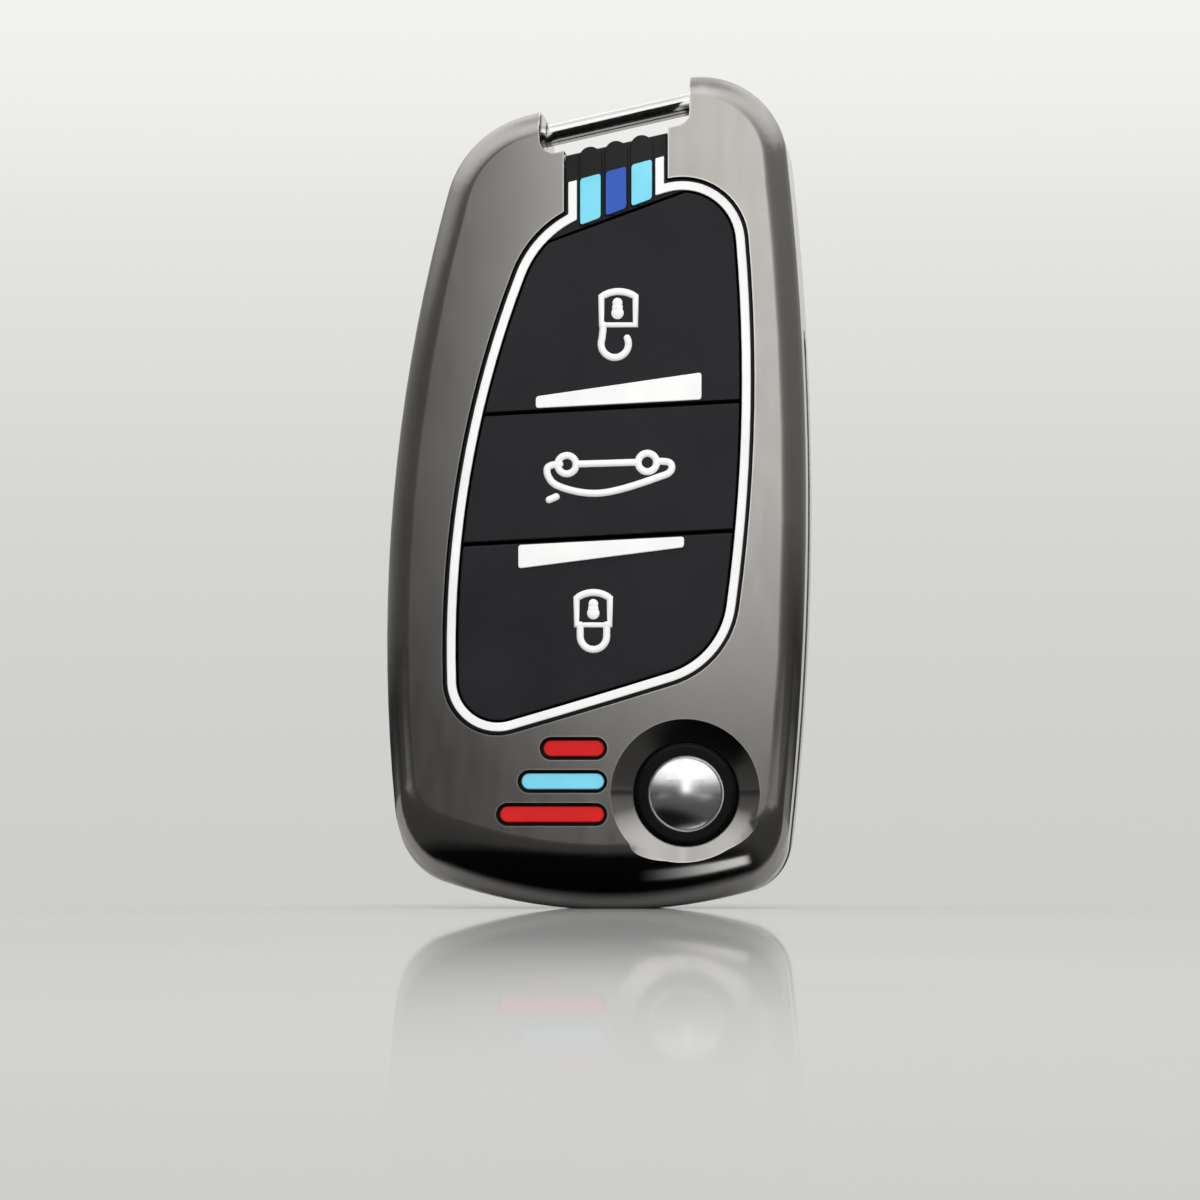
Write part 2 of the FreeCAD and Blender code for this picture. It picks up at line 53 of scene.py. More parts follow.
# Finishing of the solids
WELD = 0.0005 * MM
FLAT_ANGLE = math.radians(0.4)
SHARP_ANGLE = math.radians(34.0)
SPLIT_LIMIT = math.cos(math.radians(55.0))
BROAD_LIMIT = 0.9
UPRIGHT_LIMIT = 0.99
BEVEL_STEPS = 3
LIP_WIDTH = 0.38 * MM
LIP_ERROR = 0.01 * MM
PARTING_REACH = 0.12 * MM
PARTING_OUTSIDE = 0.9
PARTING_INSIDE = 0.03
PLATE_CORNER = 0.28 * MM

# Rounding of the shells: the solids have it in coarse steps, here it gets its full curve
EDGE_ROUND = 2.4 * MM
EDGE_ROUND_STEPS = 3
END_ROLL = 6.5 * MM
END_ROLL_STEPS = 2
FINE_TURN = math.radians(7.5)
FLAT_LIMIT = 0.9995
SKIN_ERROR = math.radians(20.0)

# Crown of the two faces: how far they fall towards the outline, and where the fall starts
CROWN = 0.55 * MM
CROWN_START = 3.0 * MM
CROWN_GRID = 2.4 * MM
CROWN_LENGTH_SHARE = 0.55

LOW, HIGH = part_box("front_shell")
FACE_Y = LOW.y
MIDDLE_X = (LOW.x + HIGH.x) / 2.0
MIDDLE_Z = (LOW.z + HIGH.z) / 2.0
HALF_WIDTH = (HIGH.x - LOW.x) / 2.0
HALF_LENGTH = (HIGH.z - LOW.z) / 2.0
PAD_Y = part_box("lock_button")[0].y
CAP_LOW, CAP_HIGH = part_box("release_cap")
DISH_X = (CAP_LOW.x + CAP_HIGH.x) / 2.0
DISH_Z = (CAP_LOW.z + CAP_HIGH.z) / 2.0
DISH_REACH = 7.4 * MM
DISH_RIM = 6.4 * MM
DISH_SLOPE = math.radians(34.0)
DISH_LEAN_LEAST = 0.35
DISH_LEAN_MOST = 0.8
DISH_DEPTH = 2.0 * MM

# Icons: strokes of round wire that stand a little out of the pad
STROKE_RADIUS = 0.41 * MM
STROKE_SINK = 0.22 * MM
STROKE_STEPS = 4
END_SEGMENTS = 16
DOT_SEGMENTS = 24
LOCK_TOP_STEPS = 12
CURVE_STEPS = 4

# Grain of the materials: the part of each noise that counts, and where an edge begins to look worn and lit; the
# brighter edge colour is partly wear and partly a painted highlight
EVEN = (1.0, 1.0, 1.0)
NOISE_LOW = 0.3
NOISE_HIGH = 0.7
EDGE_REACH = 0.25 * MM
EDGE_FLAT = 0.99
EDGE_FULL_TURN = 0.86
EDGE_SAMPLES = 4
# Edge colour: partly wear, partly a painted highlight along rims and lips
WEAR_AND_HIGHLIGHT_EDGE_COLOUR = (0.86, 0.845, 0.83)

# Camera, from the right and slightly from below
IMAGE_PIXELS = 1200.0
PIXELS_PER_MM = 10.13
CAMERA_DISTANCE = 0.6
CAMERA_YAW = math.radians(4.0)
CAMERA_PITCH = math.radians(-2.0)
VIEW_CENTRE = Vector((-0.15 * MM, 0.0, 30.35 * MM))

# Light around the object: brightness over the direction (0 is the viewer's side, plus is right), the
# share of it at each height, the light from above and below, and the pale room behind the object
LIGHT_TOP = 3.0
AROUND = [(-180.0, 0.35), (-120.0, 0.24), (-90.0, 0.17), (-60.0, 0.12), (-38.0, 0.11), (-24.0, 0.12), (-15.0, 0.155),
          (-11.0, 0.17), (-8.7, 0.36), (-6.5, 0.62), (-3.0, 1.1), (3.0, 1.35), (6.5, 0.95), (9.0, 0.8), (12.0, 0.66),
          (17.0, 0.44), (24.0, 0.31), (34.0, 0.26), (60.0, 0.22), (100.0, 0.22), (130.0, 0.28), (180.0, 0.4)]
RISE = [(-90.0, 0.06), (-3.0, 0.06), (-1.6, 0.065), (-1.0, 0.11), (0.0, 0.35), (1.0, 0.54), (3.0, 1.05), (6.0, 1.0),
        (9.0, 1.14), (13.0, 1.1), (20.0, 0.6), (40.0, 0.4), (90.0, 0.3)]
ABOVE = [(-90.0, 0.55), (-12.0, 0.5), (-6.0, 0.4), (-2.5, 0.0), (11.0, 0.0), (17.0, 0.35), (24.0, 0.7), (32.0, 0.95),
         (45.0, 1.15), (58.0, 1.12), (75.0, 0.75), (90.0, 0.7)]
BEHIND = [(-90.0, 0.61), (-3.0, 0.61), (1.0, 0.64), (5.0, 0.76), (8.0, 0.90), (15.0, 0.95), (90.0, 0.95)]
BEHIND_START = 158.0
BEHIND_FULL = 170.0
TENT_COLOUR = (1.0, 0.995, 0.98, 1.0)

# Soft light from the front, which shiny surfaces do not mirror
FILL_PLACE = (0.15, -0.75, 0.35)
FILL_AIM = (0.0, 0.0, 0.04)
FILL_SIZE = 0.5
FILL_POWER = 4.0

# Floor: glossy near the object, and fading into the pale room on all sides
FLOOR_HALF = 0.65
FLOOR_IOR = 1.5
FLOOR_GLOSS = 0.72
FLOOR_GLOSS_START = -0.52
FLOOR_GLOSS_FULL = -0.05
FLOOR_NEAR_START = -0.50
FLOOR_NEAR_FULL = -0.12
FLOOR_BACK_END = 0.05
FLOOR_BACK_FULL = 0.004
FLOOR_SIDE_END = 0.06
FLOOR_SIDE_FULL = 0.03
FLOOR_LEAN = 0.9

# Dark card in the notch that gives the bar its dark band
BAR_CARD_AHEAD = 2.9 * MM
BAR_CARD_DROP = 3.5 * MM
BAR_CARD_RISE = 2.3 * MM
BAR_CARD_LEFT_RISE = 1.5 * MM
BAR_SOCKET = 2.0 * MM

# Dark card on the floor that darkens the foot of the object
FLAG_HEIGHT = 0.3 * MM
FLAG_NEAR = -0.40
FLAG_FAR = -0.0058
FLAG_BACK = 0.022
FLAG_EDGE = 0.002
FLAG_BLACK_START = -0.019
FLAG_GREY_END = -0.030
FLAG_BEND = 35.0
FLAG_CORNER = 0.015
FLAG_CORNER_BLUR = 0.006
FLAG_LEFT = -0.035
FLAG_LEAN = 0.25
FLAG_RIGHT = 0.035
FLAG_CLOSE = -0.05
FLAG_BLUR = 0.025
FLAG_SOFT = 0.05
FLAG_REACH = 0.40

# Glowing strip on that card, seen as a light streak on the lower right edge
STRIP_LEFT = 0.004
STRIP_SOFT = 0.012
STRIP_RIGHT = 0.0165
STRIP_NEAR = -0.0122
STRIP_FAR = -0.0090
STRIP_EDGE = 0.0008
STRIP_GLOW = 1.3


# Solids made ready for show

def cad_copy(node):
    """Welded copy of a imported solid, with the triangles of each flat face joined up."""
    bm = bmesh.new()
    bm.from_mesh(frame["nodes"][node].data)
    bmesh.ops.remove_doubles(bm, verts=bm.verts, dist=WELD)
    bmesh.ops.dissolve_limit(bm, angle_limit=FLAT_ANGLE, verts=bm.verts, edges=bm.edges)
    return bm


def round_edges(bm, edges, width):
    bmesh.ops.bevel(bm, geom=edges, offset=width, offset_type="OFFSET", segments=BEVEL_STEPS,
                    profile=0.5, affect="EDGES", clamp_overlap=True)


def from_dish(point):
    """Distance from the axis of the release push."""
    return math.hypot(point.x - DISH_X, point.z - DISH_Z)


def to_dish(point):
    """Direction towards the axis of the release push."""
    return Vector((DISH_X - point.x, 0.0, DISH_Z - point.z)).normalized()


def in_dish(face):
    """Whether a face is part of the sloped dish round the release push."""
    centre = face.calc_center_median()
    lean = face.normal.dot(to_dish(centre))
    sloped = DISH_LEAN_LEAST < lean < DISH_LEAN_MOST
    return sloped and from_dish(centre) < DISH_REACH and centre.y < FACE_Y + DISH_DEPTH


def is_sharp(edge):
    if len(edge.link_faces) != 2:
        return False
    first, second = edge.link_faces
    return edge.calc_face_angle(0.0) > SHARP_ANGLE or in_dish(first) != in_dish(second)


def sharp_edges(bm):
    return [edge for edge in bm.edges if is_sharp(edge)]


def soften(bm, width):
    """Round every sharp edge."""
    round_edges(bm, sharp_edges(bm), width)


def is_lip(edge):
    """Whether an edge bounds an opening in the front face, or is the rim of the dish."""
    if all(abs(vert.co.y - FACE_Y) < LIP_ERROR for vert in edge.verts):
        return True
    first, second = edge.link_faces
    return in_dish(first) != in_dish(second) and all(from_dish(vert.co) > DISH_RIM for vert in edge.verts)


def round_lips(bm, width):
    """Give the openings in the front face their broader lip."""
    round_edges(bm, [edge for edge in sharp_edges(bm) if is_lip(edge)], width)


def round_corners(bm, width):
    """Round the corners of a plate, seen from the front."""
    corners = [edge for edge in sharp_edges(bm)
               if abs((edge.verts[0].co - edge.verts[1].co).normalized().y) > UPRIGHT_LIMIT]
    round_edges(bm, corners, width)


def close_parting(bm, mark):
    """Let the rims of the two halves meet on the inside and leave a fine line outside."""
    for vert in bm.verts:
        if abs(vert.co.y) < PARTING_REACH:
            outside = any(face[mark] for face in vert.link_faces)
            vert.co.y *= PARTING_OUTSIDE if outside else PARTING_INSIDE


def geometry_of(faces):
    return list({item for face in faces for item in (*face.verts, *face.edges, face)})


def mark_skin(bm):
    """Mark the faces of a shell's outside: all that hang together without a sharp edge."""
    mark = bm.faces.layers.int.new("skin")
    waiting = [max(bm.faces, key=lambda face: face.calc_center_median().x)]
    waiting[0][mark] = 1
    while waiting:
        for edge in waiting.pop().edges:
            if not is_sharp(edge):
                for face in edge.link_faces:
                    if not face[mark]:
                        face[mark] = 1
                        waiting.append(face)
    return mark


def below_face(point):
    return abs(FACE_Y) - abs(point.y)


def level(turn, radius):
    """Depth below the face at which a rounding of this radius has turned so far."""
    return radius * (1.0 - math.sin(turn))


def coarse_levels():
    """Depths of the solid's own steps, from the face inwards."""
    quarter = math.pi / 2.0
    edge = [level(quarter * step / EDGE_ROUND_STEPS, EDGE_ROUND) for step in range(EDGE_ROUND_STEPS + 1)]
    roll_turn = math.asin(1.0 - EDGE_ROUND / END_ROLL)
    roll = [level(roll_turn * step / END_ROLL_STEPS, END_ROLL) for step in range(END_ROLL_STEPS)]
    return sorted(edge + roll)


def fine_levels():
    edge = [level(FINE_TURN * step, EDGE_ROUND) for step in range(1, int(math.pi / 2.0 / FINE_TURN))]
    roll = [level(FINE_TURN * step, END_ROLL) for step in range(1, int(math.pi / 2.0 / FINE_TURN))]
    return edge + [depth for depth in roll if depth > EDGE_ROUND]


def round_inset(depth, radius):
    """How far a rounding of this radius has come in from the side at this depth."""
    rest = max(radius - depth, 0.0)
    return radius - math.sqrt(max(radius ** 2 - rest ** 2, 0.0))


def missing_round(depth, radius):
    """How far the true round stands out of the solid's chord at this depth."""
    levels = coarse_levels()
    for shallow, deep in zip(levels, levels[1:]):
        if shallow <= depth <= deep:
            share = (depth - shallow) / (deep - shallow)
            chord = round_inset(shallow, radius) * (1.0 - share) + round_inset(deep, radius) * share
            return chord - round_inset(depth, radius)
    return 0.0


def outwards(vert, mark):
    """Level direction in which the skin faces at this point, or None on the flat face."""
    total = Vector((0.0, 0.0, 0.0))
    for face in vert.link_faces:
        if face[mark] and abs(face.normal.y) < FLAT_LIMIT:
            total += face.normal * face.calc_area()
    total.y = 0.0
    return total.normalized() if total.length > 0.0 else None


def end_share(direction):
    """1 where the skin faces the foot, 0 where it faces a side or the key-ring end."""
    return direction.z ** 2 if direction.z < 0.0 else 0.0


def full_round(bm, mark):
    """Cut the stepped rounding finer and push the new points out to the true curve."""
    for depth in fine_levels():
        for side in (-1.0, 1.0):
            geom = geometry_of([face for face in bm.faces if face[mark] and abs(face.normal.y) < FLAT_LIMIT])
            place = Vector((0.0, side * (abs(FACE_Y) - depth), 0.0))
            bmesh.ops.bisect_plane(bm, geom=geom, plane_co=place, plane_no=Vector((0.0, 1.0, 0.0)), dist=WELD)
    moves = []
    for vert in bm.verts:
        direction = outwards(vert, mark)
        depth = below_face(vert.co)
        if direction is not None and depth < END_ROLL:
            foot = end_share(direction)
            reach = missing_round(depth, EDGE_ROUND) * (1.0 - foot) + missing_round(depth, END_ROLL) * foot
            moves.append((vert, direction * reach))
    for vert, move in moves:
        vert.co += move


def skin_normal(vert, mark):
    """Normal of the true round at a point of the outside."""
    direction = outwards(vert, mark)
    outward = Vector((0.0, math.copysign(1.0, vert.co.y), 0.0))
    if direction is None:
        return outward
    foot = end_share(direction)
    radius = EDGE_ROUND * (1.0 - foot) + END_ROLL * foot
    lean = min(max(1.0 - below_face(vert.co) / radius, 0.0), 1.0)
    return direction * math.sqrt(1.0 - lean ** 2) + outward * lean


def plain_normal(vert):
    total = Vector((0.0, 0.0, 0.0))
    for face in vert.link_faces:
        total += face.normal * face.calc_area()
    return total.normalized()


def is_slope(face):
    """Whether a face lies on the slope of the dish, its rounded rim left out."""
    return in_dish(face) and from_dish(face.calc_center_median()) < DISH_RIM


def slope_normal(vert):
    """Normal of the dish's cone at this point."""
    return to_dish(vert.co) * math.sin(DISH_SLOPE) + Vector((0.0, -math.cos(DISH_SLOPE), 0.0))


def shared_normal(vert, mark):
    """Normal at a point that joins faces of several kinds."""
    if mark is not None and any(is_slope(face) for face in vert.link_faces):
        return slope_normal(vert)
    if mark is not None and any(face[mark] for face in vert.link_faces):
        return skin_normal(vert, mark)
    return plain_normal(vert)


def corner_normals(bm, mark):
    """Normals for the corners of each face in turn, leaning as the crown will have it."""
    shared = {vert: shared_normal(vert, mark) for vert in bm.verts}
    normals = []
    for face in bm.faces:
        slope = mark is not None and is_slope(face)
        skin = mark is not None and face[mark]
        for vert in face.verts:
            normal = shared[vert]
            if slope:
                normal = slope_normal(vert)
            elif skin:
                normal = skin_normal(vert, mark)
            normals.append(crown_turn(normal, vert.co))
    return normals


def crown_fall(x, z):
    across = (x - MIDDLE_X) / HALF_WIDTH
    along = (z - MIDDLE_Z) / HALF_LENGTH
    return CROWN * (across ** 2 + CROWN_LENGTH_SHARE * along ** 2)


def crown_share(y):
    return max(abs(y) - CROWN_START, 0.0) / (abs(FACE_Y) - CROWN_START)


def crown_turn(normal, point):
    """A normal as it leans once the crown is in."""
    side = math.copysign(1.0, point.y)
    share = crown_share(point.y)
    slope_x = -side * share * CROWN * 2.0 * (point.x - MIDDLE_X) / HALF_WIDTH ** 2
    slope_z = -side * share * CROWN * 2.0 * CROWN_LENGTH_SHARE * (point.z - MIDDLE_Z) / HALF_LENGTH ** 2
    turned = Vector((normal.x - slope_x * normal.y, normal.y, normal.z - slope_z * normal.y))
    return turned.normalized()


def cut_on(bm, axis, positions):
    """Cut the broad faces on a row of planes, so that they can bend."""
    for position in positions:
        broad = [face for face in bm.faces if abs(face.normal.y) > BROAD_LIMIT]
        bmesh.ops.bisect_plane(bm, geom=geometry_of(broad), plane_co=axis * position, plane_no=axis, dist=WELD)


def steps(low, high, step):
    count = int((high - low) / step)
    return [low + step * (index + 0.5) for index in range(count)]


def cut_for_crown(bm):
    xs = [vert.co.x for vert in bm.verts]
    zs = [vert.co.z for vert in bm.verts]
    cut_on(bm, Vector((1.0, 0.0, 0.0)), steps(min(xs), max(xs), CROWN_GRID))
    cut_on(bm, Vector((0.0, 0.0, 1.0)), steps(min(zs), max(zs), CROWN_GRID))


def crown(bm):
    """Give the front and rear faces their slight crown."""
    for vert in bm.verts:
        vert.co.y -= math.copysign(crown_share(vert.co.y) * crown_fall(vert.co.x, vert.co.z), vert.co.y)


def clear_bevels(bm, mark):
    """Take the mark off the narrow faces that rounded the skin's edges."""
    bm.normal_update()
    for face in bm.faces:
        if face[mark]:
            centre = face.calc_center_median()
            foot = end_share(face.normal)
            radius = EDGE_ROUND * (1.0 - foot) + END_ROLL * foot
            lean = min(max(1.0 - below_face(centre) / radius, 0.0), 1.0)
            if abs(math.asin(min(abs(face.normal.y), 1.0)) - math.asin(lean)) > SKIN_ERROR:
                face[mark] = 0


def piece_from(bm, name, material, normals=None):
    mesh = bpy.data.meshes.new(name)
    bm.to_mesh(mesh)
    bm.free()
    mesh.shade_smooth()
    mesh.materials.append(material)
    if normals:
        set_normals(mesh, normals)
    piece = bpy.data.objects.new(name, mesh)
    bpy.context.scene.collection.objects.link(piece)
    return piece


def set_normals(mesh, normals):
    """Smooth normals, except on faces that turn away from them by more than a sharp edge."""
    split = []
    for face in mesh.polygons:
        for index in face.loop_indices:
            keep = normals[index].dot(face.normal) > SPLIT_LIMIT
            split.append(normals[index] if keep else face.normal.copy())
    mesh.normals_split_custom_set(split)


def finished(node, width, material):
    """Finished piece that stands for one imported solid, on the solid's own body and slot."""
    bm = cad_copy(node)
    mark = None
    if node in SHELLS:
        mark = mark_skin(bm)
        close_parting(bm, mark)
        full_round(bm, mark)
    if node == "front_shell":
        round_lips(bm, LIP_WIDTH)
    if node in ROUND_PLATES:
        round_corners(bm, PLATE_CORNER)
    soften(bm, width)
    cut_for_crown(bm)
    if mark is not None:
        clear_bevels(bm, mark)
    bm.normal_update()
    normals = corner_normals(bm, mark)
    crown(bm)
    piece = piece_from(bm, node + "_finish", material, normals)
    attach(piece, BODY_OF[node])
    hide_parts(node)
    return piece


# Icons

def pad_point(x, z):
    """Place of a stroke's middle line, given in millimetres on the pad."""
    fall = crown_share(PAD_Y) * crown_fall(x * MM, z * MM)
    return Vector((x * MM, PAD_Y + STROKE_SINK + fall, z * MM))


def arc(x, z, radius, start, end, count):
    turn = [math.radians(start + (end - start) * index / count) for index in range(count + 1)]
    return [(x + radius * math.cos(angle), z + radius * math.sin(angle)) for angle in turn]


def flowing(points):
    """Smooth line through the points."""
    ends = [points[0]] + points + [points[-1]]
    line = []
    for before, start, end, after in zip(ends, ends[1:], ends[2:], ends[3:]):
        for step in range(CURVE_STEPS):
            line.append(tuple(spline_value(*values, step / CURVE_STEPS)
                              for values in zip(before, start, end, after)))
    return line + [points[-1]]


def spline_value(before, start, end, after, share):
    """Value of a cubic that passes through start and end."""
    rise = (end - before) / 2.0
    fall = (after - start) / 2.0
    gap = end - start
    return (start + share * rise + share ** 2 * (3.0 * gap - 2.0 * rise - fall)
            + share ** 3 * (rise + fall - 2.0 * gap))


def wire(points, radius, closed):
    """Tube of round section along points on the pad, with round ends."""
    curve = bpy.data.curves.new("stroke", "CURVE")
    curve.dimensions = "3D"
    curve.bevel_depth = radius
    curve.bevel_resolution = STROKE_STEPS
    curve.use_fill_caps = True
    spline = curve.splines.new("POLY")
    spline.points.add(len(points) - 1)
    for point, place in zip(spline.points, points):
        point.co = (*pad_point(*place), 1.0)
    spline.use_cyclic_u = closed
    holder = bpy.data.objects.new("stroke", curve)
    mesh = bpy.data.meshes.new_from_object(holder)
    bpy.data.objects.remove(holder)
    bpy.data.curves.remove(curve)
    return mesh


def ball(bm, segments, radius, place):
    bmesh.ops.create_uvsphere(bm, u_segments=segments, v_segments=segments // 2, radius=radius, matrix=place)


def icon(name, body, strokes, dots, material):
    """One white pictogram: strokes of wire and round dots, all in one piece."""
    bm = bmesh.new()
    for points, closed in strokes:
        mesh = wire(points, STROKE_RADIUS, closed)
        bm.from_mesh(mesh)
        bpy.data.meshes.remove(mesh)
        for end in () if closed else (points[0], points[-1]):
            ball(bm, END_SEGMENTS, STROKE_RADIUS, Matrix.Translation(pad_point(*end)))
    for x, z, radius in dots:
        flat = STROKE_RADIUS / (radius * MM)
        place = Matrix.Translation(pad_point(x, z)) @ Matrix.Diagonal((1.0, flat, 1.0, 1.0))
        ball(bm, DOT_SEGMENTS, radius * MM, place)
    bmesh.ops.recalc_face_normals(bm, faces=bm.faces)
    piece = piece_from(bm, name, material)
    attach(piece, body)
    return piece


def lock_body(left, right, low, shoulder, bow):
    """Outline of a padlock's body with a bowed upper side."""
    middle = (left + right) / 2.0
    half = (right - left) / 2.0
    radius = (half ** 2 + bow ** 2) / (2.0 * bow)
    reach = math.degrees(math.asin(half / radius))
    top = arc(middle, shoulder + bow - radius, radius, 90.0 - reach, 90.0 + reach, LOCK_TOP_STEPS)
    return [(left, low), (right, low)] + top


def unlock_icon(material):
    """Open padlock with a keyhole; all places in millimetres on the pad."""
    body = lock_body(left=0.65, right=3.97, low=56.8, shoulder=59.55, bow=0.5)
    hook = [(0.85, 56.8), (0.78, 56.1)] + arc(x=1.95, z=54.95, radius=1.33, start=160.0, end=385.0, count=20)
    keyhole = [(2.21, 57.95, 0.72), (2.21, 58.5, 0.62), (2.21, 58.95, 0.58)]
    icon("unlock_icon", "unlock", [(body, True), (hook, False)], keyhole, material)


def lock_icon(material):
    """Closed padlock with a keyhole."""
    body = lock_body(left=-1.77, right=1.47, low=27.6, shoulder=30.2, bow=0.55)
    bow = arc(x=-0.13, z=26.5, radius=1.29, start=180.0, end=360.0, count=16)
    hook = [(-1.42, 27.6), (-1.42, 26.5)] + bow + [(1.16, 27.6)]
    keyhole = [(-0.14, 28.75, 0.72), (-0.14, 29.2, 0.6), (-0.14, 29.65, 0.56)]
    icon("lock_icon", "lock", [(body, True), (hook, False)], keyhole, material)


def boot_icon(material):
    """Car with its boot open, wheels up as on the pad."""
    body = flowing([(-3.4, 43.25), (-4.2, 43.15), (-4.65, 42.8), (-4.5, 42.0), (-3.9, 41.3), (-2.6, 40.78),
                    (-1.0, 40.45), (0.6, 40.42), (2.2, 40.7), (4.0, 41.2), (6.2, 41.95), (7.2, 42.35),
                    (7.5, 42.9), (7.2, 43.4), (6.0, 43.5)])
    wheels = [arc(x, z, radius=0.9, start=0.0, end=345.0, count=23) for x, z in ((-2.72, 43.2), (5.12, 43.38))]
    sill = [(-1.7, 43.25), (4.1, 43.4)]
    lid = [(-4.45, 39.78), (-3.75, 40.08)]
    icon("boot_icon", "boot",
         [(wheel, True) for wheel in wheels] + [(line, False) for line in (sill, body, lid)], [], material)


# Materials

def start_material(name):
    material = bpy.data.materials.new(name)
    material.use_nodes = True
    tree = material.node_tree
    return material, tree, tree.nodes["Principled BSDF"]


def add(tree, kind, **values):
    node = tree.nodes.new(kind)
    for key, value in values.items():
        setattr(node, key, value)
    return node


def noise(tree, scale, detail, stretch):
    """Noise in object space, stretched along the axes."""
    place = add(tree, "ShaderNodeTexCoord")
    mapping = add(tree, "ShaderNodeMapping")
    mapping.inputs["Scale"].default_value = stretch
    texture = add(tree, "ShaderNodeTexNoise")
    texture.inputs["Scale"].default_value = scale
    texture.inputs["Detail"].default_value = detail
    tree.links.new(place.outputs["Object"], mapping.inputs["Vector"])
    tree.links.new(mapping.outputs["Vector"], texture.inputs["Vector"])
    return texture.outputs["Fac"]


def ramp(tree, fac, stops):
    node = add(tree, "ShaderNodeValToRGB")
    elements = node.color_ramp.elements
    while len(elements) < len(stops):
        elements.new(0.5)
    for element, (position, colour) in zip(elements, stops):
        element.position = position
        element.color = (*colour, 1.0)
    tree.links.new(fac, node.inputs["Fac"])
    return node.outputs["Color"]


def spread(tree, fac, low, high):
    """Noise brought to a range of values."""
    node = add(tree, "ShaderNodeMapRange")
    node.inputs["From Min"].default_value = NOISE_LOW
    node.inputs["From Max"].default_value = NOISE_HIGH
    node.inputs["To Min"].default_value = low
    node.inputs["To Max"].default_value = high
    tree.links.new(fac, node.inputs["Value"])
    return node.outputs["Result"]


def bump(tree, height, strength, distance):
    node = add(tree, "ShaderNodeBump")
    node.inputs["Strength"].default_value = strength
    node.inputs["Distance"].default_value = distance
    tree.links.new(height, node.inputs["Height"])
    return node.outputs["Normal"]


def wear_and_highlight_edge_mask(tree):
    """How far the surface turns close by: 0 on flat stretches, 1 on edges, which get wear and a painted highlight.
    """
    rounded = add(tree, "ShaderNodeBevel", samples=EDGE_SAMPLES)
    rounded.inputs["Radius"].default_value = EDGE_REACH
    geometry = add(tree, "ShaderNodeNewGeometry")
    dot = add(tree, "ShaderNodeVectorMath", operation="DOT_PRODUCT")
    tree.links.new(rounded.outputs["Normal"], dot.inputs[0])
    tree.links.new(geometry.outputs["Normal"], dot.inputs[1])
    turn = add(tree, "ShaderNodeMapRange")
    turn.inputs["From Min"].default_value = EDGE_FLAT
    turn.inputs["From Max"].default_value = EDGE_FULL_TURN
    tree.links.new(dot.outputs["Value"], turn.inputs["Value"])
    return turn.outputs["Result"]


def mix_colour(tree, fac, first, second):
    node = add(tree, "ShaderNodeMix", data_type="RGBA")
    tree.links.new(fac, node.inputs["Factor"])
    tree.links.new(first, node.inputs["A"])
    node.inputs["B"].default_value = (*second, 1.0)
    return node.outputs["Result"]


def gunmetal():
    """Satin dark nickel plating: cloudy tone, faint rub marks, and brighter edges that are partly wear and partly a
    painted highlight.
    """
    material, tree, shader = start_material("satin_gunmetal")
    cloud = noise(tree, scale=90.0, detail=4.0, stretch=EVEN)
    rub = noise(tree, scale=700.0, detail=5.0, stretch=(1.0, 1.0, 0.25))
    grain = noise(tree, scale=16000.0, detail=2.0, stretch=EVEN)
    tone = ramp(tree, cloud, [(0.35, (0.385, 0.373, 0.360)), (0.65, (0.415, 0.403, 0.390))])
    # Edges take a brighter colour: partly wear, partly a painted highlight along rims and lips
    tone = mix_colour(tree, wear_and_highlight_edge_mask(tree), tone, WEAR_AND_HIGHLIGHT_EDGE_COLOUR)
    tree.links.new(tone, shader.inputs["Base Color"])
    tree.links.new(spread(tree, rub, low=0.13, high=0.17), shader.inputs["Roughness"])
    tree.links.new(bump(tree, grain, strength=0.04, distance=0.001 * MM), shader.inputs["Normal"])
    shader.inputs["Metallic"].default_value = 1.0
    return material


def silicone(name, dark, light, low_gloss, high_gloss, sheen=0.3):
    """Moulded silicone: slight mottling, fine grain and a soft uneven sheen."""
    material, tree, shader = start_material(name)
    cloud = noise(tree, scale=160.0, detail=5.0, stretch=EVEN)
    grain = noise(tree, scale=9000.0, detail=2.0, stretch=EVEN)
    tree.links.new(ramp(tree, cloud, [(0.32, dark), (0.68, light)]), shader.inputs["Base Color"])
    tree.links.new(spread(tree, cloud, low_gloss, high_gloss), shader.inputs["Roughness"])
    tree.links.new(bump(tree, grain, strength=0.12, distance=0.01 * MM), shader.inputs["Normal"])
    shader.inputs["Specular IOR Level"].default_value = sheen
    return material


def polished(name, dark, light, low_gloss, high_gloss):
    """Bright plating with faint hairlines from use."""
    material, tree, shader = start_material(name)
    cloud = noise(tree, scale=400.0, detail=4.0, stretch=EVEN)
    hairline = noise(tree, scale=2600.0, detail=2.0, stretch=(1.0, 1.0, 0.06))
    tree.links.new(ramp(tree, cloud, [(0.35, dark), (0.65, light)]), shader.inputs["Base Color"])
    tree.links.new(spread(tree, hairline, low_gloss, high_gloss), shader.inputs["Roughness"])
    tree.links.new(bump(tree, cloud, strength=0.03, distance=0.002 * MM), shader.inputs["Normal"])
    shader.inputs["Metallic"].default_value = 1.0
    return material


def axis_value(tree, name):
    """One coordinate of the shaded point, in the frame of the model."""
    place = add(tree, "ShaderNodeTexCoord")
    parts = add(tree, "ShaderNodeSeparateXYZ")
    tree.links.new(place.outputs["Object"], parts.inputs["Vector"])
    return parts.outputs[name]


def fade(tree, value, zero, one, low=0.0, high=1.0):
    """Smooth change from low to high between two places."""
    node = add(tree, "ShaderNodeMapRange", interpolation_type="SMOOTHSTEP")
    node.inputs["From Min"].default_value = zero
    node.inputs["From Max"].default_value = one
    node.inputs["To Min"].default_value = low
    node.inputs["To Max"].default_value = high
    tree.links.new(value, node.inputs["Value"])
    return node.outputs["Result"]


